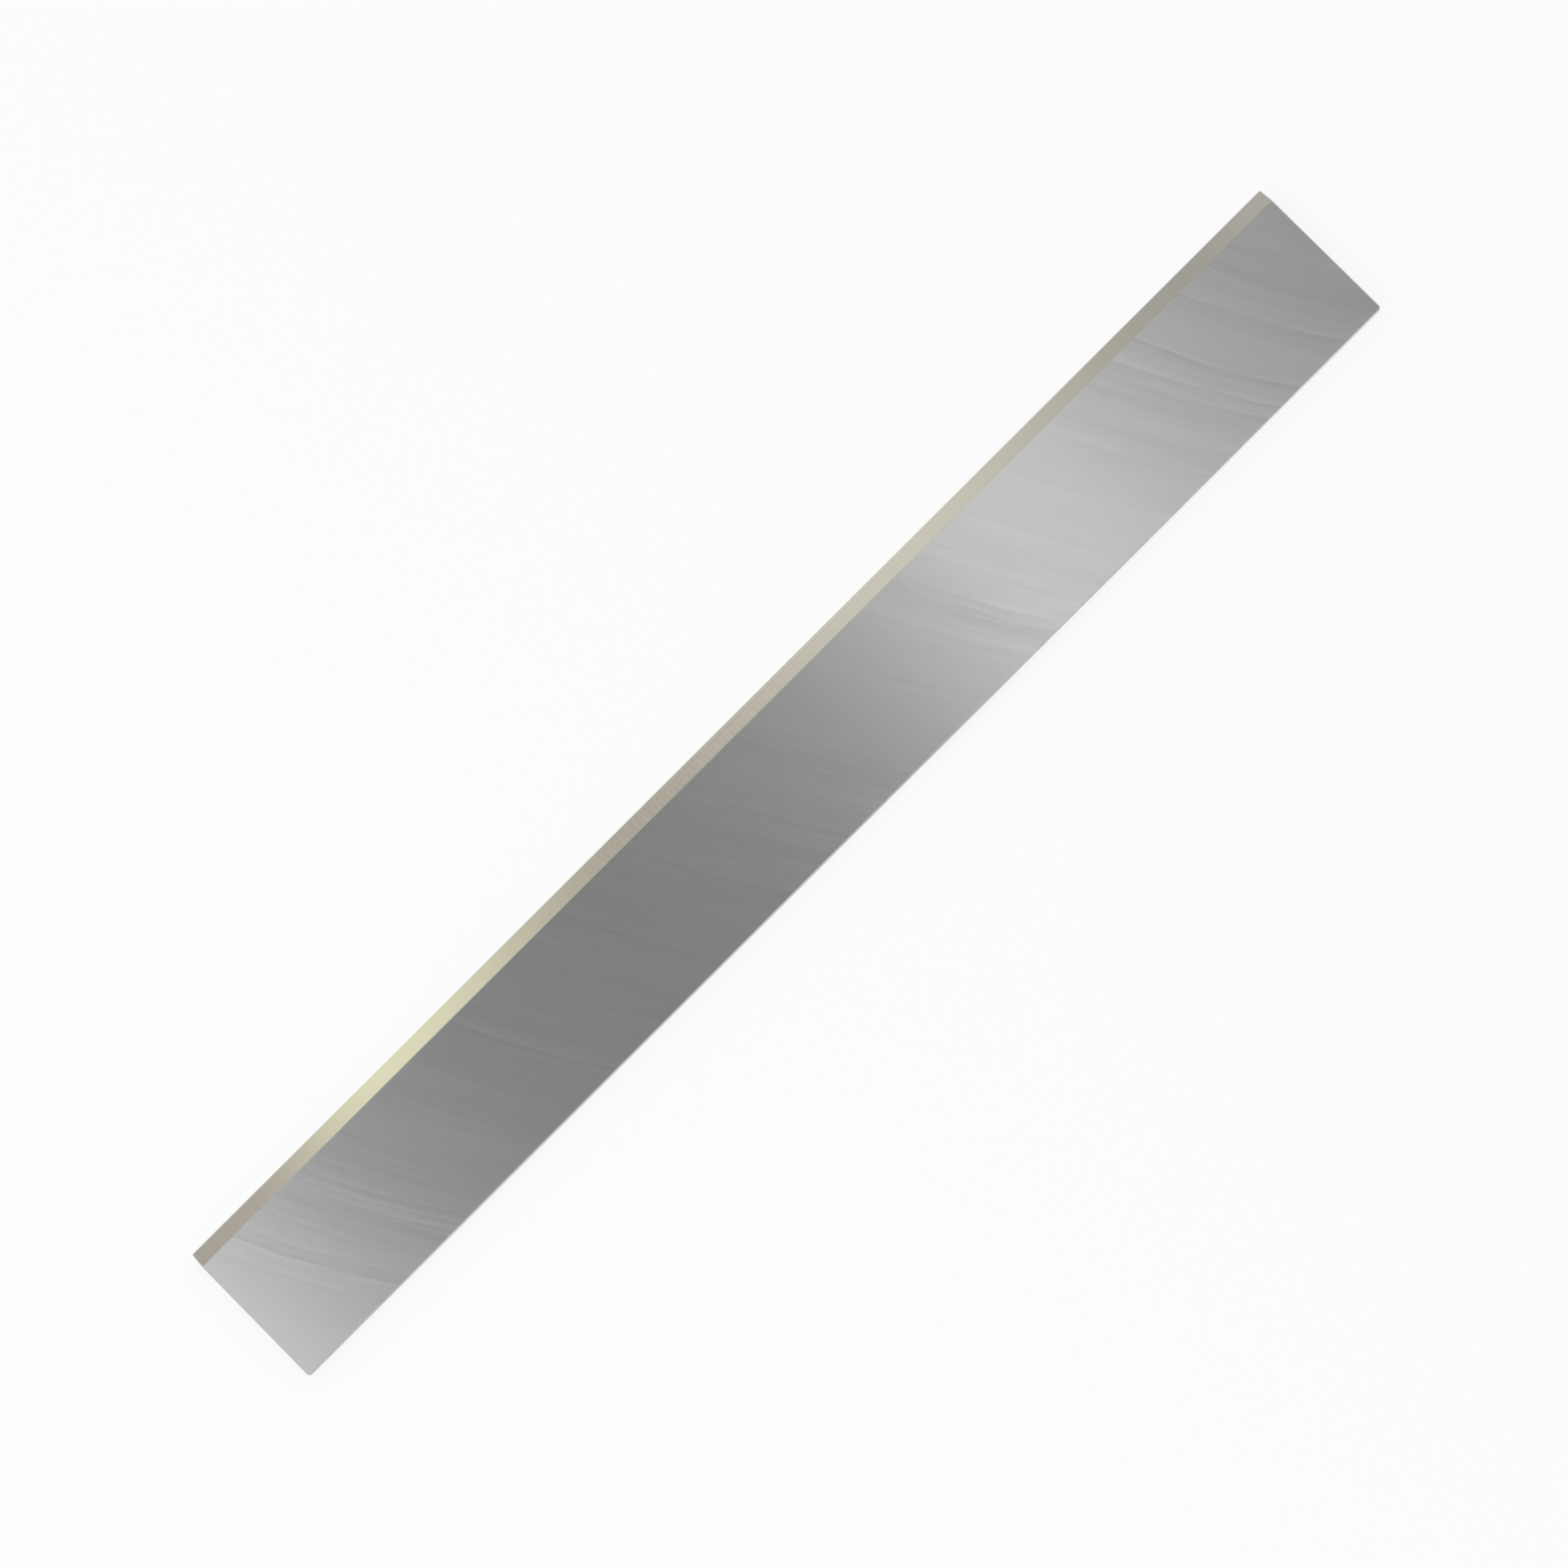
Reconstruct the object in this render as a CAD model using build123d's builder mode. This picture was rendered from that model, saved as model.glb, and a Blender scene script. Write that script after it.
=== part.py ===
from build123d import *
import math
import os

# A planer knife: one flat bar of hardened steel, ground on all its faces, with
# a single bevel along one long side. The bevel meets the seat face at the
# cutting edge.
#
# The knife lies on its seat face with the bevel up. X runs along it and Y runs
# across it towards the cutting edge. The origin is the middle of the seat face.
# Sizes are in millimetres and angles in degrees.

# Driving dimensions
knife_length = 310.0
knife_width = 35.0
knife_thickness = 3.0
wedge_angle = 40.0
corner_radius = 0.5
edge_break = 0.15

# Places that follow from them
back_y = -knife_width / 2
cutting_y = knife_width / 2
bevel_width = knife_thickness / math.tan(math.radians(wedge_angle))
shoulder_y = cutting_y - bevel_width

with BuildPart() as planer_knife:
    # The bar's cross-section: the bevel slopes from the shoulder on the upper
    # face down to the cutting edge at the seat face.
    with BuildSketch(Plane.YZ.offset(-knife_length / 2)) as cross_section:
        with BuildLine() as section_outline:
            Polyline(
                (back_y, 0),
                (cutting_y, 0),
                (shoulder_y, knife_thickness),
                (back_y, knife_thickness),
                close=True,
            )
        make_face()
    extrude(amount=knife_length)

    # The two back corners are rounded in plan. The bevel's corners stay square,
    # so that the knife cuts over its whole length.
    back_corners = planer_knife.edges().filter_by(Axis.Z)
    fillet(back_corners, radius=corner_radius)

    # The rims of the seat face, the upper face and the two ends are lightly
    # broken. The cutting edge and the shoulder are left as the grinding makes
    # them.
    ground_faces = planer_knife.faces().sort_by(Axis.Z)
    seat_rim = ground_faces.first.edges()
    upper_rim = ground_faces.last.edges()
    bevel_ends = (
        planer_knife.faces()
        .filter_by(Axis.X)
        .edges()
        .filter_by(Axis.Y, reverse=True)
        .filter_by(Axis.Z, reverse=True)
    )
    crisp_edges = planer_knife.edges().filter_by(Axis.X).sort_by(Axis.Y)[-2:]
    chamfer(seat_rim + upper_rim + bevel_ends - crisp_edges, length=edge_break)

planer_knife.part.label = "planer_knife"

os.makedirs("parts", exist_ok=True)
export_step(planer_knife.part, "parts/planer_knife.step")

print("bevel width", round(bevel_width, 3), "mm")
print("volume", round(planer_knife.part.volume / 1000, 2), "cm3")
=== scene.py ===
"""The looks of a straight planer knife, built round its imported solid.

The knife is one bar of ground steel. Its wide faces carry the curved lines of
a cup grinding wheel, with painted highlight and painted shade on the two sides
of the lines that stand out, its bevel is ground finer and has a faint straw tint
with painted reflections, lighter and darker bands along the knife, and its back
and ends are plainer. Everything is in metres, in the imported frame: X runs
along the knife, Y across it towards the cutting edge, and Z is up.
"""
import logging
import math
from collections.abc import Callable
from dataclasses import dataclass, field
from enum import Enum

import bmesh
import bpy
from mathutils import Matrix, Vector


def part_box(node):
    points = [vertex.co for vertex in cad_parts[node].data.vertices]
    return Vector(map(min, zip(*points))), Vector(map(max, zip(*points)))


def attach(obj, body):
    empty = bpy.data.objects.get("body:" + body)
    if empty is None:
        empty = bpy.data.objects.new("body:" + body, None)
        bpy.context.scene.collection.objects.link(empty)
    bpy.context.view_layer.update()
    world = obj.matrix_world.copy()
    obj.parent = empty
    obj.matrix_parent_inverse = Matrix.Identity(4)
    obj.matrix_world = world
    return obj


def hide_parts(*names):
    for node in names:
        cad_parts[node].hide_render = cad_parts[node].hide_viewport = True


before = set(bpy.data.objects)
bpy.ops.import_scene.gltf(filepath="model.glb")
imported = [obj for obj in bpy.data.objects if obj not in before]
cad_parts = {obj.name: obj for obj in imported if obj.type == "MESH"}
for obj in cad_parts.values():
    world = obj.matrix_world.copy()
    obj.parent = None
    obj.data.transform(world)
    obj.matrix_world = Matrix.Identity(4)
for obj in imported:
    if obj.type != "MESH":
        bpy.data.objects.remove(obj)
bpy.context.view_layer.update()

LOG = logging.getLogger("planer_knife")
MM = 0.001
KNIFE_NODE = "planer_knife"

Colour = tuple[float, float, float]
Span = tuple[float, float]
Socket = bpy.types.NodeSocket
Sockets = dict[str, Socket]

# Plain ground steel, and white, as linear red, green and blue
STEEL: Colour = (0.42, 0.42, 0.42)
WHITE: Colour = (1.0, 1.0, 1.0)

# The middle value of a Noise Texture
NOISE_MIDDLE = 0.5

# What is added to the seed from one layer of the grain to the next
SEED_STEP = 7.3

# How wide the zones are in which the grain's lines gather
GATHER_WIDTH = 38 * MM

# The values of the zones' noise between which the lines' strength goes from least to most, and that strength
GATHER_NOISE: Span = (0.35, 0.65)
GATHER_STRENGTH: Span = (0.45, 1.55)

# Over what length a lone line changes, over what width such lines stray alike, and the range of the straying
LINE_RUN = 14 * MM
LINE_SPREAD = 6 * MM
LINE_WANDER = 1.2 * MM

# The power with which a lone line fades out on either side of its middle
LINE_FALLOFF = -2.0

# What multiplies a lone line's painted highlight and painted shade on the two sides of its groove, whose
# shape alone peaks at about 0.32
PAINTED_SLOPE_SHADE_PER_CONTRAST = 2.0

# What a tone of 1 adds to the roughness
ROUGHNESS_PER_TONE = -0.08


class Region(Enum):
    """The parts of the knife's surface that are ground apart, by material slot."""

    CLAMP_FACE = 0
    BEVEL = 1
    SEAT_FACE = 2
    BACK_AND_ENDS = 3


def deselect_all() -> None:
    """Leaves edit mode and selects nothing, so that an operator meets only what comes next."""
    if bpy.context.mode != "OBJECT":
        bpy.ops.object.mode_set(mode="OBJECT")
    bpy.ops.object.select_all(action="DESELECT")


def select_edges(piece: bpy.types.Object, wanted: Callable[[Vector, Vector], bool]) -> None:
    """Selects some edges of the piece in edit mode, and nothing else.

    Edit mode is left first, because two bevels in one go list the new faces in another order each run.

    Args:
        piece: The mesh object, which is the active one.
        wanted: Tells from an edge's two ends whether it is selected.
    """
    bpy.ops.object.mode_set(mode="OBJECT")
    bpy.ops.object.mode_set(mode="EDIT")
    bpy.ops.mesh.select_mode(type="EDGE")
    bpy.ops.mesh.select_all(action="DESELECT")
    shape = bmesh.from_edit_mesh(piece.data)
    for edge in shape.edges:
        start, end = (corner.co for corner in edge.verts)
        if wanted(start, end):
            edge.select_set(True)
    bmesh.update_edit_mesh(piece.data)


class Wiring:
    """Adds nodes to one node tree and joins them."""

    def __init__(self, tree: bpy.types.NodeTree) -> None:
        """Keeps the tree that the nodes go into."""
        self.tree = tree

    def add(self, kind: str, **settings: object) -> bpy.types.Node:
        """Adds a node and gives it its settings.

        Args:
            kind: The node's type, without ShaderNode where it starts with that.
            settings: Properties of the node by name.

        Returns:
            The new node.
        """
        node = self.tree.nodes.new(kind if kind.startswith("Node") else "ShaderNode" + kind)
        for name, value in settings.items():
            setattr(node, name, value)
        return node

    def feed(self, socket: Socket, value: object) -> None:
        """Links an output to an input socket, or sets the socket to a constant.

        Args:
            socket: The input socket.
            value: The output, or the constant.
        """
        if isinstance(value, Socket):
            self.tree.links.new(value, socket)
        else:
            socket.default_value = value

    def math(self, operation: str, *values: object) -> Socket:
        """Adds a Math node.

        Args:
            operation: Its operation, such as MULTIPLY.
            values: Outputs or numbers for its inputs, in order.

        Returns:
            The node's output.
        """
        node = self.add("Math", operation=operation)
        for socket, value in zip(node.inputs, values):
            self.feed(socket, value)
        return node.outputs[0]

    def vector(self, *parts: object) -> Socket:
        """Adds a Combine XYZ node.

        Args:
            parts: Outputs or numbers for X, Y and Z, in order. What is left out stays 0.

        Returns:
            The vector.
        """
        node = self.add("CombineXYZ")
        for socket, part in zip(node.inputs, parts):
            self.feed(socket, part)
        return node.outputs["Vector"]

    def total(self, values: list[Socket]) -> Socket:
        """Adds outputs up, two at a time.

        Args:
            values: The outputs.

        Returns:
            Their sum.
        """
        result = values[0]
        for value in values[1:]:
            result = self.math("ADD", result, value)
        return result

    def noise(self, dimensions: str, vector: Socket, detail: float = 0.0) -> bpy.types.Node:
        """Adds a Noise Texture whose usual lump is one unit of the vector.

        Args:
            dimensions: 2D or 3D.
            vector: Where it is read.
            detail: How many finer octaves it holds.

        Returns:
            The node.
        """
        node = self.add("TexNoise", noise_dimensions=dimensions)
        self.feed(node.inputs["Vector"], vector)
        node.inputs["Scale"].default_value = 1.0
        node.inputs["Detail"].default_value = detail
        return node

    def fade(self, value: Socket, span: Span, ends: Span = (0.0, 1.0)) -> Socket:
        """Adds a smooth step.

        Args:
            value: The output that it follows.
            span: Where the step starts and ends.
            ends: What it gives before and after the step.

        Returns:
            The step's output.
        """
        node = self.add("MapRange", interpolation_type="SMOOTHSTEP")
        self.feed(node.inputs["Value"], value)
        node.inputs["From Min"].default_value, node.inputs["From Max"].default_value = span
        node.inputs["To Min"].default_value, node.inputs["To Max"].default_value = ends
        return node.outputs["Result"]

    def ramp(self, place: Socket, stops: list[tuple[float, Colour]]) -> Socket:
        """Adds a colour ramp that eases from stop to stop.

        Args:
            place: The output that is looked up, from 0 to 1.
            stops: Places with their colours, in order, the first at 0 and the last at 1.

        Returns:
            The ramp's colour.
        """
        node = self.add("ValToRGB")
        band = node.color_ramp
        band.interpolation = "EASE"
        for position, _ in stops[1:-1]:
            band.elements.new(position)
        for element, (_, colour) in zip(band.elements, stops):
            element.color = (*colour, 1.0)
        self.feed(node.inputs["Fac"], place)
        return node.outputs["Color"]


def empty_wiring(owner: bpy.types.Material | bpy.types.World) -> Wiring:
    """Takes out the nodes that a new material or world comes with.

    Args:
        owner: The material or world.

    Returns:
        The wiring of its empty tree.
    """
    owner.use_nodes = True
    owner.node_tree.nodes.clear()
    return Wiring(owner.node_tree)


def new_group(name: str, inputs: list[str], outputs: list[str]) -> tuple[Wiring, Sockets, Sockets]:
    """Starts a shader node group whose sockets are all numbers, at 0 until they are set.

    Args:
        name: The group's name.
        inputs: The names of its input sockets.
        outputs: The names of its output sockets.

    Returns:
        The group's wiring, what its inputs bring by name, and where its outputs are fed by name.
    """
    tree = bpy.data.node_groups.new(name, "ShaderNodeTree")
    for label in inputs:
        tree.interface.new_socket(label, in_out="INPUT", socket_type="NodeSocketFloat")
    for label in outputs:
        tree.interface.new_socket(label, in_out="OUTPUT", socket_type="NodeSocketFloat")
    wiring = Wiring(tree)
    start = wiring.add("NodeGroupInput")
    end = wiring.add("NodeGroupOutput")
    given = {label: start.outputs[label] for label in inputs}
    result = {label: end.inputs[label] for label in outputs}
    return wiring, given, result


@dataclass(frozen=True)
class GrainLayer:
    """One size of grinding lines.

    Args:
        name: Its input in the node group.
        pitch: The usual distance between lines, in metres.
        run: How far a line keeps its depth, in metres.
        detail: How many finer octaves it holds.
        depth_share: How much of it is relief, from 0, which is tone alone, to 1.
    """

    name: str
    pitch: float
    run: float
    detail: float
    depth_share: float


GRAIN_LAYERS = (
    GrainLayer("Hair", pitch=0.12 * MM, run=9 * MM, detail=0.0, depth_share=0.0),
    GrainLayer("Fine", pitch=0.42 * MM, run=12 * MM, detail=1.0, depth_share=0.3),
    GrainLayer("Soft", pitch=1.5 * MM, run=26 * MM, detail=1.0, depth_share=1.0),
    GrainLayer("Broad", pitch=7.0 * MM, run=120 * MM, detail=0.0, depth_share=1.0),
)


def grinding_grain_group() -> bpy.types.NodeTree:
    """Makes the node group of grinding lines.

    Its inputs are the places across and along the lines in metres, a seed, the relief, which is the slope
    that goes with a strength of 1, and the strength of each layer. Its outputs are Height in metres, which a
    Bump node takes, and Tone, which is about zero and brightens or darkens the steel.

    Returns:
        The group's node tree.
    """
    inputs = ["Across", "Along", "Seed", "Relief", *(layer.name for layer in GRAIN_LAYERS)]
    wiring, given, result = new_group("grinding_grain", inputs, ["Height", "Tone"])
    zone = wiring.vector(wiring.math("DIVIDE", given["Across"], GATHER_WIDTH), given["Seed"])
    gathering = wiring.noise("2D", zone)
    crowd = wiring.fade(gathering.outputs["Fac"], GATHER_NOISE, GATHER_STRENGTH)
    heights: list[Socket] = []
    tones: list[Socket] = []
    for number, layer in enumerate(GRAIN_LAYERS):
        place = wiring.vector(
            wiring.math("DIVIDE", given["Across"], layer.pitch),
            wiring.math("DIVIDE", given["Along"], layer.run),
            wiring.math("ADD", given["Seed"], SEED_STEP * number),
        )
        noise = wiring.noise("3D", place, detail=layer.detail)
        level = wiring.math("SUBTRACT", noise.outputs["Fac"], NOISE_MIDDLE)
        tone = wiring.math("MULTIPLY", wiring.math("MULTIPLY", level, given[layer.name]), crowd)
        tones.append(tone)
        heights.append(wiring.math("MULTIPLY", tone, layer.pitch * layer.depth_share))
    wiring.feed(result["Height"], wiring.math("MULTIPLY", wiring.total(heights), given["Relief"]))
    wiring.feed(result["Tone"], wiring.total(tones))
    return wiring.tree


def line_wander_group() -> bpy.types.NodeTree:
    """Makes the node group that keeps the lone lines from being perfect.

    Its inputs are the places across and along the lines, in metres. Its outputs are Across, the place across
    them once they wander a little, and Strength, about 1, with which they come and go.

    Returns:
        The group's node tree.
    """
    wiring, given, result = new_group("line_wander", ["Across", "Along"], ["Across", "Strength"])
    place = wiring.vector(
        wiring.math("DIVIDE", given["Across"], LINE_SPREAD),
        wiring.math("DIVIDE", given["Along"], LINE_RUN),
    )
    noise = wiring.noise("2D", place, detail=1.0)
    parts = wiring.add("SeparateColor")
    wiring.feed(parts.inputs["Color"], noise.outputs["Color"])
    sideways = wiring.math("MULTIPLY_ADD", parts.outputs["Green"], LINE_WANDER, -NOISE_MIDDLE * LINE_WANDER)
    wiring.feed(result["Across"], wiring.math("ADD", given["Across"], sideways))
    wiring.feed(result["Strength"], wiring.math("DIVIDE", noise.outputs["Fac"], NOISE_MIDDLE))
    return wiring.tree


def lone_line_group() -> bpy.types.NodeTree:
    """Makes the node group that adds one grinding line that stands out to the tone and height so far.

    Its inputs are the place across the lines, the line's own place and its half-width, all in metres, the
    painted shade and height that it adds, and the Tone and Height that the lines before it gave. The line is
    deepest in the middle, and its tone is a painted highlight on one side of its middle and painted shade on
    the other, standing in for light on the groove's two slopes. Its outputs are the new Tone and Height.

    Returns:
        The group's node tree.
    """
    inputs = ["Across", "Place", "Half Width", "Contrast", "Rise", "Tone", "Height"]
    wiring, given, result = new_group("lone_line", inputs, ["Tone", "Height"])
    off = wiring.math("DIVIDE", wiring.math("SUBTRACT", given["Across"], given["Place"]), given["Half Width"])
    groove = wiring.math("POWER", wiring.math("MULTIPLY_ADD", off, off, 1.0), LINE_FALLOFF)
    painted_slope_shade = wiring.math("MULTIPLY", groove, off)
    wiring.feed(result["Tone"], wiring.math("MULTIPLY_ADD", painted_slope_shade, given["Contrast"], given["Tone"]))
    wiring.feed(result["Height"], wiring.math("MULTIPLY_ADD", groove, given["Rise"], given["Height"]))
    return wiring.tree


@dataclass
class GroupShelf:
    """The shader node groups that the finishes share, each made once.

    Args:
        grain: The grinding lines that cover a face.
        wander: What keeps the lone lines from being perfect.
        line: One lone line.
    """

    grain: bpy.types.NodeTree = field(default_factory=grinding_grain_group)
    wander: bpy.types.NodeTree = field(default_factory=line_wander_group)
    line: bpy.types.NodeTree = field(default_factory=lone_line_group)


@dataclass(frozen=True)
class WheelLines:
    """The curved lines that a cup wheel leaves on a wide face.

    Args:
        radius: The wheel's radius, in metres.
        centre_y: Where its middle passes, across the knife, in metres.
    """

    radius: float
    centre_y: float

    def across(self, wiring: Wiring, x: Socket, y: Socket) -> Socket:
        """Wires the place across the lines, which is the same all along a line.

        Args:
            wiring: The tree that it goes into.
            x: The place along the knife, in metres.
            y: The place across the knife, in metres.

        Returns:
            The place across the lines, in metres.
        """
        rise = wiring.math("POWER", wiring.math("SUBTRACT", y, self.centre_y), 2.0)
        reach = wiring.math("SQRT", wiring.math("SUBTRACT", self.radius**2, rise))
        return wiring.math("ADD", x, reach)

    def meets(self, x: float, y: float) -> float:
        """The place across the lines of a point on the knife, in metres."""
        return x + math.sqrt(self.radius**2 - (y - self.centre_y) ** 2)


@dataclass(frozen=True)
class Grain:
    """How strongly a finish shows its grinding lines.

    Args:
        hair: How far the hair lines lighten and darken the steel, as a share of its colour.
        fine: The same for the fine lines.
        soft: The same for the soft ones.
        broad: The same for the broad ones.
        relief: The slope that goes with a share of 1.
    """

    hair: float
    fine: float
    soft: float
    broad: float
    relief: float


@dataclass(frozen=True)
class SteelFinish:
    """One ground finish.

    Args:
        name: The material's name.
        roughness: How far it spreads a reflection.
        grain: Its grinding lines.
        seed: Which lines they are.
    """

    name: str
    roughness: float
    grain: Grain
    seed: float

    def start(self) -> tuple[bpy.types.Material, Wiring, bpy.types.Node]:
        """Makes the material with its metal shader.

        Returns:
            The material, its wiring and its Principled node.
        """
        material = bpy.data.materials.new(self.name)
        wiring = empty_wiring(material)
        shader = wiring.add("BsdfPrincipled")
        shader.inputs["Metallic"].default_value = 1.0
        output = wiring.add("OutputMaterial")
        wiring.feed(output.inputs["Surface"], shader.outputs["BSDF"])
        return material, wiring, shader

    def place(self, wiring: Wiring) -> tuple[Socket, Socket, Socket]:
        """Wires the object's own coordinates.

        Args:
            wiring: The material's wiring.

        Returns:
            X, Y and Z, in metres.
        """
        where = wiring.add("TexCoord")
        split = wiring.add("SeparateXYZ")
        wiring.feed(split.inputs["Vector"], where.outputs["Object"])
        return split.outputs["X"], split.outputs["Y"], split.outputs["Z"]

    def lines(self, wiring: Wiring, shelf: GroupShelf, across: Socket, along: Socket) -> bpy.types.Node:
        """Places the grinding grain with this finish's values.

        Args:
            wiring: The material's wiring.
            shelf: The shared node groups.
            across: The place across the lines, in metres.
            along: The place along them, in metres.

        Returns:
            The grain's node.
        """
        node = wiring.add("Group", node_tree=shelf.grain)
        wiring.feed(node.inputs["Across"], across)
        wiring.feed(node.inputs["Along"], along)
        settings = {
            "Seed": self.seed,
            "Relief": self.grain.relief,
            "Hair": self.grain.hair,
            "Fine": self.grain.fine,
            "Soft": self.grain.soft,
            "Broad": self.grain.broad,
        }
        for name, value in settings.items():
            node.inputs[name].default_value = value
        return node

    def shade(
        self, wiring: Wiring, shader: bpy.types.Node, colour: Socket | Colour, tone: Socket, height: Socket
    ) -> None:
        """Joins colour, tone and height to the shader.

        Args:
            wiring: The material's wiring.
            shader: Its Principled node.
            colour: The steel's colour, plain or as it changes over the surface, as on the bevel with its
                painted reflections.
            tone: The grain's tone, about zero, with the painted highlight and painted shade of any lone
                lines.
            height: The surface's height, in metres.
        """
        scale = wiring.add("VectorMath", operation="SCALE")
        wiring.feed(scale.inputs["Vector"], colour)
        wiring.feed(scale.inputs["Scale"], wiring.math("ADD", tone, 1.0))
        wiring.feed(shader.inputs["Base Color"], scale.outputs["Vector"])
        roughness = wiring.math("MULTIPLY_ADD", tone, ROUGHNESS_PER_TONE, self.roughness)
        wiring.feed(shader.inputs["Roughness"], roughness)
        bump = wiring.add("Bump")
        bump.inputs["Strength"].default_value = 1.0
        bump.inputs["Distance"].default_value = 1.0
        wiring.feed(bump.inputs["Height"], height)
        wiring.feed(shader.inputs["Normal"], bump.outputs["Normal"])


@dataclass(frozen=True)
class LoneLine:
    """One grinding line that stands out on a wide face.

    Args:
        x: Where it crosses the middle of the face, in metres.
        contrast: How strongly it lightens the steel on its +X side and darkens it on the other,
        as painted highlight and painted shade on its groove's two slopes, and how deep its groove is.
        half_width: In metres.
    """

    x: float
    contrast: float
    half_width: float = 0.8 * MM


@dataclass(frozen=True)
class WideFaceFinish(SteelFinish):
    """A wide face, ground by the rim of a cup wheel.

    Args:
        wheel: The wheel's curved lines.
        lone_lines: The lines that stand out, with painted highlight and painted shade on their two sides.
    """

    wheel: WheelLines
    lone_lines: tuple[LoneLine, ...] = ()

    def material(self, shelf: GroupShelf) -> bpy.types.Material:
        """Builds the material.

        Args:
            shelf: The shared node groups.

        Returns:
            The material.
        """
        made, wiring, shader = self.start()
        x, y, _ = self.place(wiring)
        across = self.wheel.across(wiring, x, y)
        grain = self.lines(wiring, shelf, across, y)
        wander = wiring.add("Group", node_tree=shelf.wander)
        wiring.feed(wander.inputs["Across"], across)
        wiring.feed(wander.inputs["Along"], y)
        tone, height = 0.0, 0.0
        for line in self.lone_lines:
            node = wiring.add("Group", node_tree=shelf.line)
            wiring.feed(node.inputs["Across"], wander.outputs["Across"])
            node.inputs["Place"].default_value = self.wheel.meets(line.x, 0.0)
            node.inputs["Half Width"].default_value = line.half_width
            # The line's tone is painted highlight on one side and painted shade on the other; its rise is a
            # real groove.
            node.inputs["Contrast"].default_value = PAINTED_SLOPE_SHADE_PER_CONTRAST * line.contrast
            node.inputs["Rise"].default_value = -line.contrast * self.grain.relief * line.half_width
            wiring.feed(node.inputs["Tone"], tone)
            wiring.feed(node.inputs["Height"], height)
            tone, height = node.outputs["Tone"], node.outputs["Height"]
        strength = wander.outputs["Strength"]
        tone = wiring.math("MULTIPLY_ADD", tone, strength, grain.outputs["Tone"])
        height = wiring.math("MULTIPLY_ADD", height, strength, grain.outputs["Height"])
        self.shade(wiring, shader, STEEL, tone, height)
        return made


@dataclass(frozen=True)
class TintWithPaintedReflection:
    """A colour of the bevel at one place along the knife, in metres from its middle: a straw tint, lighter or
    darker by painted reflection.
    """

    x: float
    colour: Colour


@dataclass(frozen=True)
class BevelFinish(SteelFinish):
    """The bevel, ground fine across the edge, with a straw tint and painted reflections: lighter and darker
    bands along the knife.

    Args:
        tints_with_painted_reflections: Its colours along the knife, in order, whose lighter and darker stops
            are painted reflections.
    """

    tints_with_painted_reflections: tuple[TintWithPaintedReflection, ...] = ()

    def material(self, shelf: GroupShelf) -> bpy.types.Material:
        """Builds the material.

        Args:
            shelf: The shared node groups.

        Returns:
            The material.
        """
        made, wiring, shader = self.start()
        x, y, _ = self.place(wiring)
        # The colour eases along the knife through the bevel's tints, whose lighter and darker stops are
        # painted reflections.
        first, last = self.tints_with_painted_reflections[0].x, self.tints_with_painted_reflections[-1].x
        share = wiring.add("MapRange")
        wiring.feed(share.inputs["Value"], x)
        share.inputs["From Min"].default_value = first
        share.inputs["From Max"].default_value = last
        stops = [((tint_with_painted_reflection.x - first) / (last - first), tint_with_painted_reflection.colour) for tint_with_painted_reflection in self.tints_with_painted_reflections]
        colour = wiring.ramp(share.outputs["Result"], stops)
        grain = self.lines(wiring, shelf, x, y)
        self.shade(wiring, shader, colour, grain.outputs["Tone"], grain.outputs["Height"])
        return made


@dataclass(frozen=True)
class RimFinish(SteelFinish):
    """The back and the ends, with plain lines that run round the knife."""

    def material(self, shelf: GroupShelf) -> bpy.types.Material:
        """Builds the material.

        Args:
            shelf: The shared node groups.

        Returns:
            The material.
        """
        made, wiring, shader = self.start()
        x, y, z = self.place(wiring)
        grain = self.lines(wiring, shelf, z, wiring.math("ADD", x, y))
        self.shade(wiring, shader, STEEL, grain.outputs["Tone"], grain.outputs["Height"])
        return made


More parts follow.
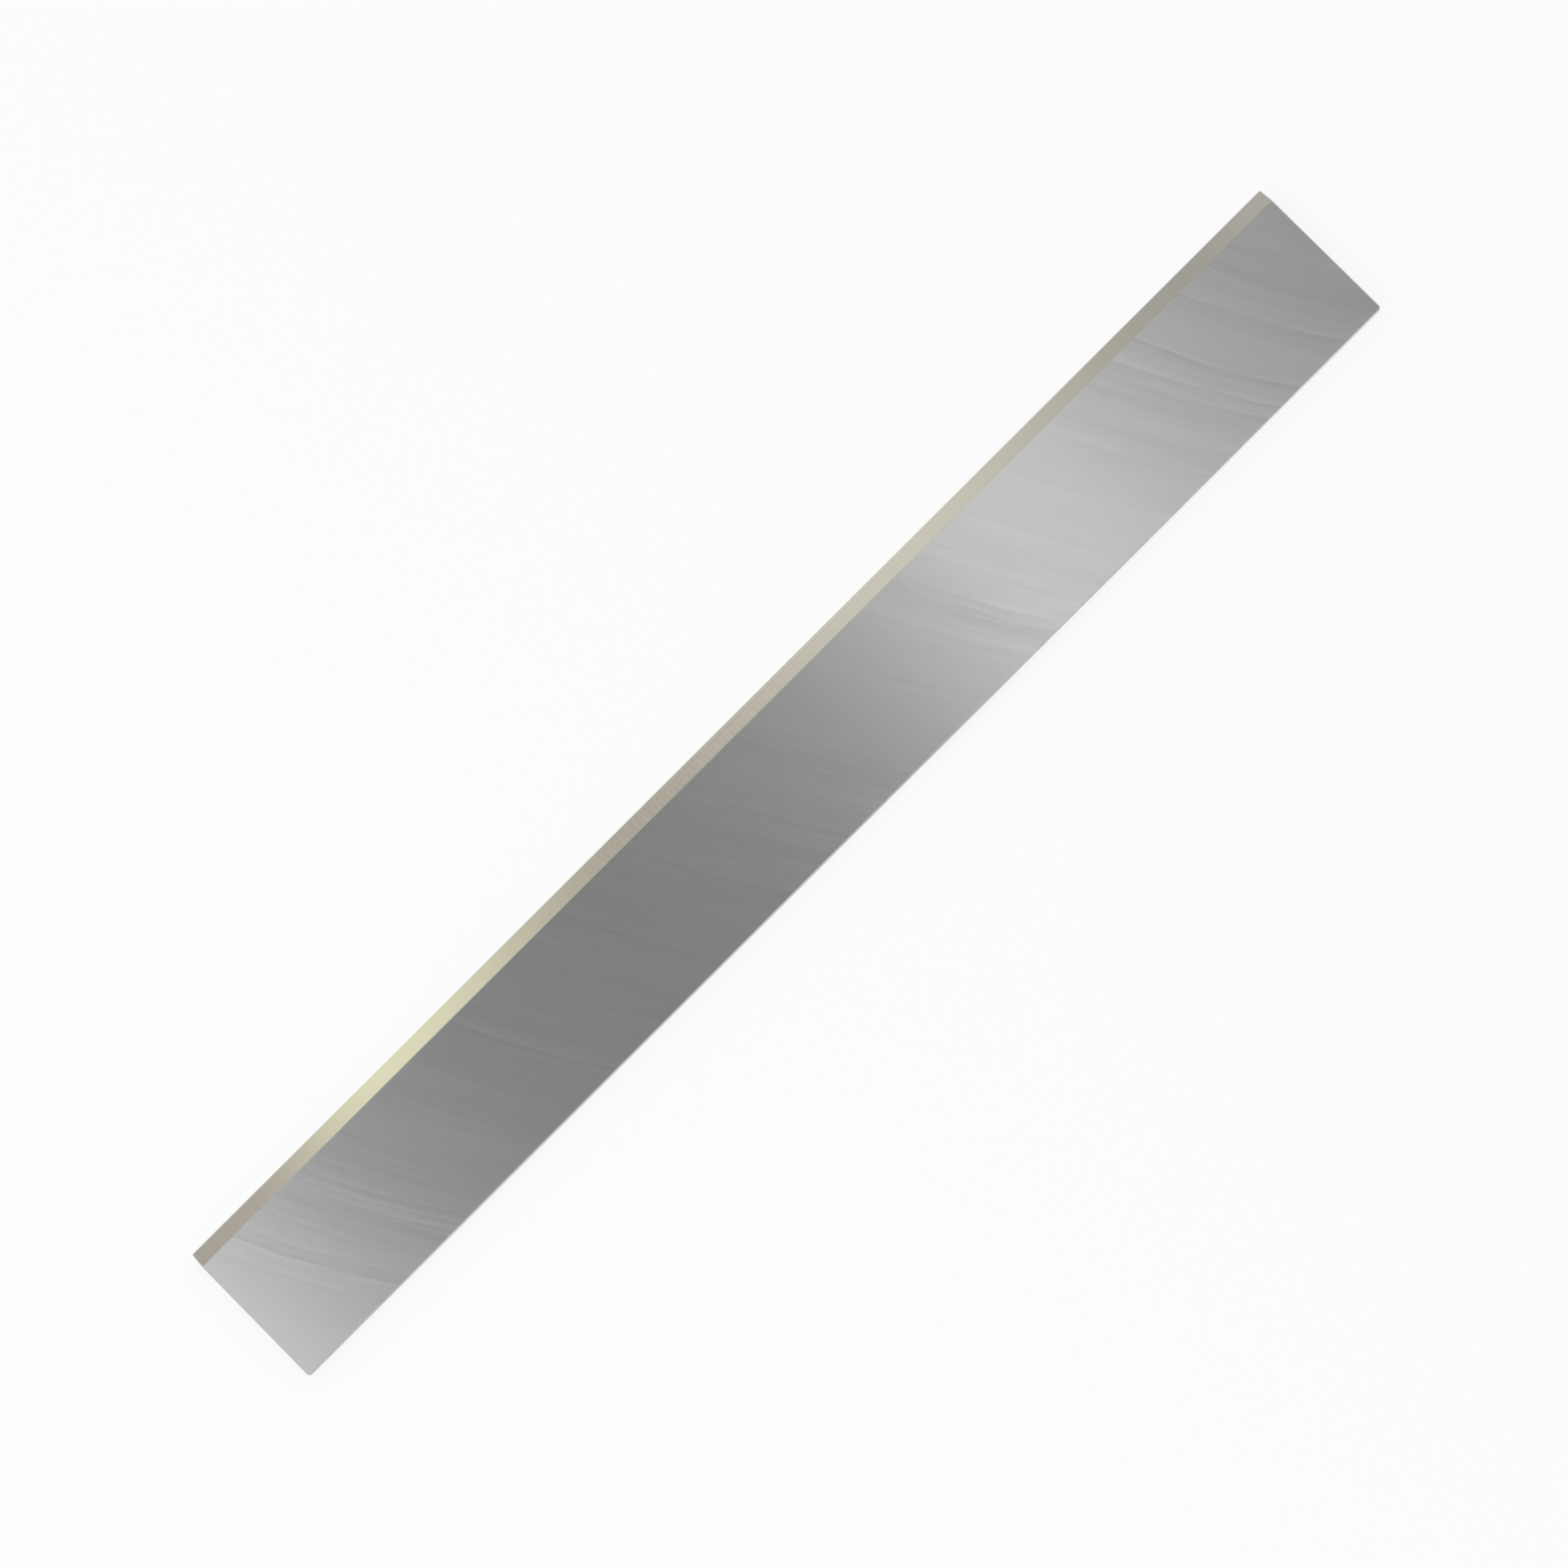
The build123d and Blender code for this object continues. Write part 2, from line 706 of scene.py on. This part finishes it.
@dataclass
class PlanerKnife:
    """The knife's bar, shaped as it is ground.

    Args:
        low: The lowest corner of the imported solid, in metres.
        high: Its highest corner, in metres.
        wedge_angle: Between the seat face and the bevel, in radians.
        corner_radius: Of the two back corners in plan, in metres.
        corner_facets: How many faces round each of them.
        edge_break: The rounding of the rims, in metres.
        edge_facets: How many faces round each of them.
        shoulder_break: The rounding of the shoulder above the bevel, in metres.
        shoulder_facets: How many faces round it.
        smooth_below: The angle between faces that are shaded as one surface, in radians.
        large_face_weight: How far a large face's normal wins over a small one's, where 50 is even.
        place_tolerance: How near a corner must be to a place to count as there, in metres.
        facing: How near a face's normal must be to a way to look that way, as their dot product.
    """

    low: Vector
    high: Vector
    wedge_angle: float = math.radians(40.0)
    corner_radius: float = 0.5 * MM
    corner_facets: int = 6
    edge_break: float = 0.15 * MM
    edge_facets: int = 3
    shoulder_break: float = 0.03 * MM
    shoulder_facets: int = 2
    smooth_below: float = math.radians(35.0)
    large_face_weight: int = 100
    place_tolerance: float = 0.002 * MM
    facing: float = 0.999

    @property
    def thickness(self) -> float:
        """The bar's thickness, in metres."""
        return self.high.z - self.low.z

    @property
    def bevel_width(self) -> float:
        """The bevel's width seen from above, in metres."""
        return self.thickness / math.tan(self.wedge_angle)

    @property
    def shoulder_y(self) -> float:
        """Where the bevel meets the upper face, in metres."""
        return self.high.y - self.bevel_width

    def near(self, value: float, place: float) -> bool:
        """Whether a coordinate is at a place."""
        return abs(value - place) < self.place_tolerance

    def build(self) -> bpy.types.Object:
        """Models the knife.

        Returns:
            The knife's mesh object.
        """
        piece = self.saw_blank()
        self.grind_bevel(piece)
        self.round_back_corners(piece)
        self.break_rims(piece)
        self.ease_shoulder(piece)
        self.assign_regions(piece)
        self.smooth(piece)
        return piece

    def saw_blank(self) -> bpy.types.Object:
        """Adds the rectangular bar at the solid's size and place.

        Returns:
            The bar's mesh object.
        """
        deselect_all()
        middle = (self.low + self.high) / 2
        bpy.ops.mesh.primitive_cube_add(size=1.0, location=middle, scale=self.high - self.low)
        piece = bpy.context.active_object
        piece.name = "ground_knife"
        piece.data.name = "ground_knife"
        bpy.ops.object.transform_apply(location=True, rotation=True, scale=True)
        return piece

    def along_top(self, start: Vector, end: Vector, y: float) -> bool:
        """Whether an edge runs along the knife at the upper face's height and at a place across it.

        Args:
            start: One end of the edge.
            end: The other end.
            y: The place across the knife, in metres.

        Returns:
            Whether it does.
        """
        there = all(self.near(corner.y, y) and self.near(corner.z, self.high.z) for corner in (start, end))
        return there and not self.near(start.x, end.x)

    def is_back_corner(self, start: Vector, end: Vector) -> bool:
        """Whether an edge is one of the two upright ones at the back."""
        return self.near(max(start.y, end.y), self.low.y) and not self.near(start.z, end.z)

    def is_rim(self, start: Vector, end: Vector) -> bool:
        """Whether an edge is of the rims that are broken: all but the cutting edge, shoulder and uprights.

        Args:
            start: One end of the edge.
            end: The other end.

        Returns:
            Whether it is.
        """
        lengthwise = not self.near(start.x, end.x)
        upright = not self.near(start.z, end.z) and self.near(start.y, end.y)
        front = min(start.y, end.y) > self.shoulder_y - self.place_tolerance
        return not upright and not (front and lengthwise)

    def grind_bevel(self, piece: bpy.types.Object) -> None:
        """Draws the upper front edge back, which turns the front wall into the bevel."""
        select_edges(piece, lambda start, end: self.along_top(start, end, self.high.y))
        bpy.ops.transform.translate(value=(0.0, -self.bevel_width, 0.0))

    def round_back_corners(self, piece: bpy.types.Object) -> None:
        """Rounds the two upright edges at the back."""
        select_edges(piece, self.is_back_corner)
        bpy.ops.mesh.bevel(offset=self.corner_radius, segments=self.corner_facets, affect="EDGES")

    def break_rims(self, piece: bpy.types.Object) -> None:
        """Rounds the rims of the wide faces and the ends a little."""
        select_edges(piece, self.is_rim)
        bpy.ops.mesh.bevel(offset=self.edge_break, segments=self.edge_facets, affect="EDGES")

    def ease_shoulder(self, piece: bpy.types.Object) -> None:
        """Takes the sharpness off the shoulder, where the bevel meets the upper face."""
        select_edges(piece, lambda start, end: self.along_top(start, end, self.shoulder_y))
        bpy.ops.mesh.bevel(offset=self.shoulder_break, segments=self.shoulder_facets, affect="EDGES")

    def region_of(self, normal: Vector) -> Region:
        """The region of a face, from the way that it looks.

        Args:
            normal: The face's normal.

        Returns:
            The region.
        """
        bevel = Vector((0.0, math.sin(self.wedge_angle), math.cos(self.wedge_angle)))
        if normal.z > self.facing:
            return Region.CLAMP_FACE
        if normal.z < -self.facing:
            return Region.SEAT_FACE
        if normal.dot(bevel) > self.facing:
            return Region.BEVEL
        return Region.BACK_AND_ENDS

    def assign_regions(self, piece: bpy.types.Object) -> None:
        """Gives each face the material slot of its region.

        Args:
            piece: The knife's mesh object.
        """
        deselect_all()
        for face in piece.data.polygons:
            face.material_index = self.region_of(face.normal).value

    def smooth(self, piece: bpy.types.Object) -> None:
        """Shades the rounded edges smooth and keeps the ground faces flat.

        Args:
            piece: The knife's mesh object.
        """
        piece.select_set(True)
        bpy.context.view_layer.objects.active = piece
        bpy.ops.object.shade_smooth_by_angle(angle=self.smooth_below, keep_sharp_edges=True)
        weights = piece.modifiers.new("face_weights", "WEIGHTED_NORMAL")
        weights.keep_sharp = True
        weights.weight = self.large_face_weight
        bpy.ops.object.modifier_apply(modifier=weights.name)

    def dress(self, piece: bpy.types.Object, finishes: dict[Region, bpy.types.Material]) -> None:
        """Puts a material in each region's slot."""
        for region in Region:
            piece.data.materials.append(finishes[region])


WIDE_FACE_GRAIN = Grain(hair=0.05, fine=0.07, soft=0.075, broad=0.05, relief=0.08)

CLAMP_FACE_FINISH = WideFaceFinish(
    name="ground_clamp_face",
    roughness=0.29,
    grain=WIDE_FACE_GRAIN,
    seed=1.7,
    wheel=WheelLines(radius=190 * MM, centre_y=90 * MM),
    lone_lines=(
        LoneLine(-143.4 * MM, 0.026),
        LoneLine(-139.5 * MM, -0.065),
        LoneLine(-136.5 * MM, 0.026, 0.6 * MM),
        LoneLine(-125.6 * MM, 0.028),
        LoneLine(-119.1 * MM, 0.032),
        LoneLine(-97.6 * MM, 0.026),
        LoneLine(-79.3 * MM, -0.026, 0.6 * MM),
        LoneLine(-76.4 * MM, 0.065, 0.6 * MM),
        LoneLine(-62.9 * MM, -0.026),
        LoneLine(-52.3 * MM, 0.026, 0.6 * MM),
        LoneLine(-44.7 * MM, 0.06, 0.55 * MM),
        LoneLine(-25.7 * MM, 0.042, 0.6 * MM),
        LoneLine(-17.4 * MM, -0.03),
        LoneLine(-1.6 * MM, 0.033),
        LoneLine(3.1 * MM, 0.048, 0.6 * MM),
        LoneLine(10.8 * MM, 0.03, 0.6 * MM),
        LoneLine(29.6 * MM, -0.055),
        LoneLine(42.1 * MM, -0.033),
        LoneLine(50.7 * MM, 0.06, 0.6 * MM),
        LoneLine(53.1 * MM, 0.045, 0.5 * MM),
        LoneLine(71.5 * MM, -0.03),
        LoneLine(83.8 * MM, -0.03),
        LoneLine(95.6 * MM, 0.042, 0.6 * MM),
        LoneLine(101.7 * MM, 0.03, 0.6 * MM),
        LoneLine(112.1 * MM, 0.027),
        LoneLine(115.6 * MM, 0.065),
        LoneLine(121.5 * MM, 0.1, 0.7 * MM),
        LoneLine(134.8 * MM, 0.06),
        LoneLine(142.6 * MM, -0.045),
    ),
)
SEAT_FACE_FINISH = WideFaceFinish(
    name="ground_seat_face",
    roughness=0.29,
    grain=WIDE_FACE_GRAIN,
    seed=11.2,
    wheel=WheelLines(radius=190 * MM, centre_y=-85 * MM),
    lone_lines=(
        LoneLine(-131.0 * MM, -0.05, 0.7 * MM),
        LoneLine(-104.5 * MM, 0.03),
        LoneLine(-88.0 * MM, 0.06, 0.6 * MM),
        LoneLine(-57.5 * MM, -0.03),
        LoneLine(-21.0 * MM, 0.045, 0.6 * MM),
        LoneLine(7.5 * MM, -0.028),
        LoneLine(36.0 * MM, 0.055, 0.7 * MM),
        LoneLine(61.0 * MM, 0.03, 0.6 * MM),
        LoneLine(90.5 * MM, -0.06, 0.6 * MM),
        LoneLine(97.0 * MM, -0.03),
        LoneLine(127.0 * MM, 0.05),
    ),
)
BEVEL_FINISH = BevelFinish(
    name="ground_bevel",
    roughness=0.29,
    grain=Grain(hair=0.12, fine=0.05, soft=0.02, broad=0.01, relief=0.1),
    seed=5.1,
    # A straw tint with painted reflections: the lightest stop is a painted bright band, the darkest ones
    # painted dark bands.
    tints_with_painted_reflections=(
        TintWithPaintedReflection(-155 * MM, (0.40, 0.37, 0.32)),
        TintWithPaintedReflection(-141 * MM, (0.42, 0.38, 0.33)),
        TintWithPaintedReflection(-100 * MM, (0.75, 0.73, 0.52)),
        TintWithPaintedReflection(-31 * MM, (0.43, 0.40, 0.33)),
        TintWithPaintedReflection(49 * MM, (0.62, 0.59, 0.50)),
        TintWithPaintedReflection(133 * MM, (0.37, 0.36, 0.31)),
        TintWithPaintedReflection(155 * MM, (0.43, 0.41, 0.37)),
    ),
)
RIM_FINISH = RimFinish(
    name="ground_rim",
    roughness=0.32,
    grain=Grain(hair=0.12, fine=0.07, soft=0.03, broad=0.0, relief=0.15),
    seed=3.9,
)


@dataclass(frozen=True)
class Camera:
    """The camera over the knife, turned so that the knife runs from lower left to upper right.

    Args:
        face_height: The height of the knife's upper face, in metres.
        aim_x: Where the middle of the picture lies along the knife, in metres.
        aim_y: Where it lies across the knife, in metres.
        distance: From the camera to that point of the upper face, in metres.
        lean: How far it stands to the back's side of straight above, in radians.
        picture_up: The way over the knife that points up in the picture, in radians from X towards Y.
        frame_width: The width of the picture at the upper face, in metres.
        sensor_width: In millimetres.
        nearest: How near it sees, in metres.
        farthest: How far it sees, in metres.
    """

    face_height: float
    aim_x: float = -0.47 * MM
    aim_y: float = -0.27 * MM
    distance: float = 1.65
    lean: float = math.radians(6.3)
    picture_up: float = math.radians(45.26)
    frame_width: float = 321.5 * MM
    sensor_width: float = 36.0
    nearest: float = 0.05
    farthest: float = 50.0

    def build(self) -> None:
        """Adds the camera to the scene."""
        data = bpy.data.cameras.new("camera")
        data.sensor_width = self.sensor_width
        data.lens = self.sensor_width * self.distance / self.frame_width
        data.clip_start = self.nearest
        data.clip_end = self.farthest
        eye = bpy.data.objects.new("camera", data)
        bpy.context.scene.collection.objects.link(eye)
        back = Vector((0.0, -math.sin(self.lean), math.cos(self.lean)))
        upward = Vector((math.cos(self.picture_up), math.sin(self.picture_up), 0.0))
        right = upward.cross(back).normalized()
        up = back.cross(right)
        turn = Matrix((right, up, back)).transposed()
        aim = Vector((self.aim_x, self.aim_y, self.face_height))
        eye.matrix_world = Matrix.Translation(aim + self.distance * back) @ turn.to_4x4()
        bpy.context.scene.camera = eye


@dataclass(frozen=True)
class StripLamp:
    """A long soft lamp over the knife that looks down, with a like one below it that looks up.

    Args:
        name: Its name.
        x: Its middle along the knife, in metres.
        width: Along the knife, in metres.
        brightness: The radiance of its face, where 1 is a white wall in plain light.
        height: Above the floor, in metres.
        length: Across the knife, in metres.
    """

    name: str
    x: float
    width: float
    brightness: float
    height: float = 0.38
    length: float = 2.0

    def build(self) -> None:
        """Adds both lamps to the scene. The floor keeps the lower one's light off all but the underside."""
        data = bpy.data.lights.new(self.name, "AREA")
        data.shape = "RECTANGLE"
        data.size = self.width
        data.size_y = self.length
        data.energy = self.brightness * math.pi * self.width * self.length
        places = {self.name: (self.height, 0.0), self.name + "_below": (-self.height, math.pi)}
        for name, (height, turn) in places.items():
            lamp = bpy.data.objects.new(name, data)
            bpy.context.scene.collection.objects.link(lamp)
            lamp.location = (self.x, 0.0, height)
            lamp.rotation_euler.x = turn


@dataclass(frozen=True)
class Studio:
    """The pale floor, the room round it and the strip lamps.

    Args:
        floor_half: Half the floor's width, in metres.
        floor_gap: How far the floor lies under the knife, in metres.
        floor_open_within: How short a ray has to be to go through the floor, in metres.
        floor_paint: How much of the light that falls on the floor it sends back.
        floor_glow: What the camera and reflections see besides, where 1 is white.
        room_low: The room's brightness near the floor, where 1 is white.
        room_high: Its brightness overhead.
        greying: Between which heights it goes from one to the other, in degrees above the floor.
        patch_scale: How fine the room's soft light and dark patches are.
        patch_strength: How far they lighten and darken it.
        patch_rise: Between which heights they come in, in degrees.
        patch_fall: Between which heights they fade out, in degrees.
        strips: The lamps.
    """

    floor_half: float = 9.0
    floor_gap: float = 0.05 * MM
    floor_open_within: float = 0.3 * MM
    floor_paint: float = 0.18
    floor_glow: float = 0.815
    room_low: float = 0.98
    room_high: float = 0.364
    greying: Span = (5.0, 50.0)
    patch_scale: float = 2.6
    patch_strength: float = 1.6
    patch_rise: Span = (7.0, 18.0)
    patch_fall: Span = (40.0, 60.0)
    strips: tuple[StripLamp, ...] = (
        StripLamp("key_strip", x=0.082, width=0.033, brightness=2.87),
        StripLamp("wide_strip", x=0.145, width=0.135, brightness=0.37, height=0.385),
        StripLamp("left_strip", x=-0.229, width=0.089, brightness=1.97),
        StripLamp("far_right_strip", x=0.48, width=0.14, brightness=1.2),
        StripLamp("far_left_strip", x=-0.48, width=0.14, brightness=1.2),
    )

    def floor(self) -> None:
        """Adds the floor just under the knife."""
        deselect_all()
        bpy.ops.mesh.primitive_plane_add(size=2 * self.floor_half, location=(0.0, 0.0, -self.floor_gap))
        floor = bpy.context.active_object
        floor.name = "floor"
        floor.data.materials.append(self.floor_material())

    def floor_material(self) -> bpy.types.Material:
        """A white floor that the camera and reflections see glow a little.

        It lets through what comes from below, and the short rays between it and the face that lies on it, so
        that the underside can be seen and reflects the room below.

        Returns:
            The material.
        """
        made = bpy.data.materials.new("floor")
        wiring = empty_wiring(made)
        paint = wiring.add("BsdfDiffuse")
        paint.inputs["Color"].default_value = (self.floor_paint, self.floor_paint, self.floor_paint, 1.0)
        rays = wiring.add("LightPath")
        kinds = ("Is Camera Ray", "Is Glossy Ray", "Is Transmission Ray")
        seen = wiring.total([rays.outputs[kind] for kind in kinds])
        glow = wiring.add("Emission")
        wiring.feed(glow.inputs["Strength"], wiring.math("MULTIPLY", seen, self.floor_glow))
        both = wiring.add("AddShader")
        wiring.feed(both.inputs[0], paint.outputs["BSDF"])
        wiring.feed(both.inputs[1], glow.outputs["Emission"])
        side = wiring.add("NewGeometry")
        touching = wiring.math("LESS_THAN", rays.outputs["Ray Length"], self.floor_open_within)
        choice = wiring.add("MixShader")
        wiring.feed(choice.inputs["Fac"], wiring.math("MAXIMUM", side.outputs["Backfacing"], touching))
        wiring.feed(choice.inputs[1], both.outputs["Shader"])
        wiring.feed(choice.inputs[2], wiring.add("BsdfTransparent").outputs["BSDF"])
        output = wiring.add("OutputMaterial")
        wiring.feed(output.inputs["Surface"], choice.outputs["Shader"])
        return made

    @staticmethod
    def sines(angles: Span) -> Span:
        """The sines of two angles in degrees, which are the heights of points on a ball of radius 1."""
        return math.sin(math.radians(angles[0])), math.sin(math.radians(angles[1]))

    def room(self) -> None:
        """Lights the scene from all round: white near the floor, and greyer overhead and far below."""
        world = bpy.data.worlds.new("room")
        bpy.context.scene.world = world
        wiring = empty_wiring(world)
        where = wiring.add("TexCoord")
        split = wiring.add("SeparateXYZ")
        wiring.feed(split.inputs["Vector"], where.outputs["Generated"])
        height = wiring.math("ABSOLUTE", split.outputs["Z"])
        level = wiring.fade(height, self.sines(self.greying), (self.room_low, self.room_high))
        spread = wiring.add("VectorMath", operation="SCALE")
        wiring.feed(spread.inputs[0], where.outputs["Generated"])
        spread.inputs["Scale"].default_value = self.patch_scale
        noise = wiring.noise("3D", spread.outputs["Vector"])
        middle = -NOISE_MIDDLE * self.patch_strength
        patch = wiring.math("MULTIPLY_ADD", noise.outputs["Fac"], self.patch_strength, middle)
        rise = wiring.fade(height, self.sines(self.patch_rise))
        fall = wiring.fade(height, self.sines(self.patch_fall), (1.0, 0.0))
        held = wiring.math("MULTIPLY", rise, fall)
        uneven = wiring.math("MULTIPLY_ADD", patch, held, 1.0)
        light = wiring.add("Background")
        light.inputs["Color"].default_value = (*WHITE, 1.0)
        wiring.feed(light.inputs["Strength"], wiring.math("MULTIPLY", level, uneven))
        output = wiring.add("OutputWorld")
        wiring.feed(output.inputs["Surface"], light.outputs["Background"])

    def build(self) -> None:
        """Sets up the floor, the room and the lamps."""
        self.floor()
        self.room()
        for strip in self.strips:
            strip.build()


def main() -> None:
    """Builds the knife, its finishes, the studio and the camera."""
    logging.basicConfig(level=logging.INFO, format="%(name)s: %(message)s")
    low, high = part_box(KNIFE_NODE)
    knife = PlanerKnife(low, high)
    piece = knife.build()
    shelf = GroupShelf()
    finishes = {
        Region.CLAMP_FACE: CLAMP_FACE_FINISH.material(shelf),
        Region.BEVEL: BEVEL_FINISH.material(shelf),
        Region.SEAT_FACE: SEAT_FACE_FINISH.material(shelf),
        Region.BACK_AND_ENDS: RIM_FINISH.material(shelf),
    }
    knife.dress(piece, finishes)
    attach(piece, "root")
    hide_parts(KNIFE_NODE)
    LOG.info("%s: %d faces", piece.name, len(piece.data.polygons))

    Studio().build()
    Camera(face_height=high.z).build()
    bpy.context.scene.view_settings.view_transform = "Standard"


if __name__ == "__main__":
    main()
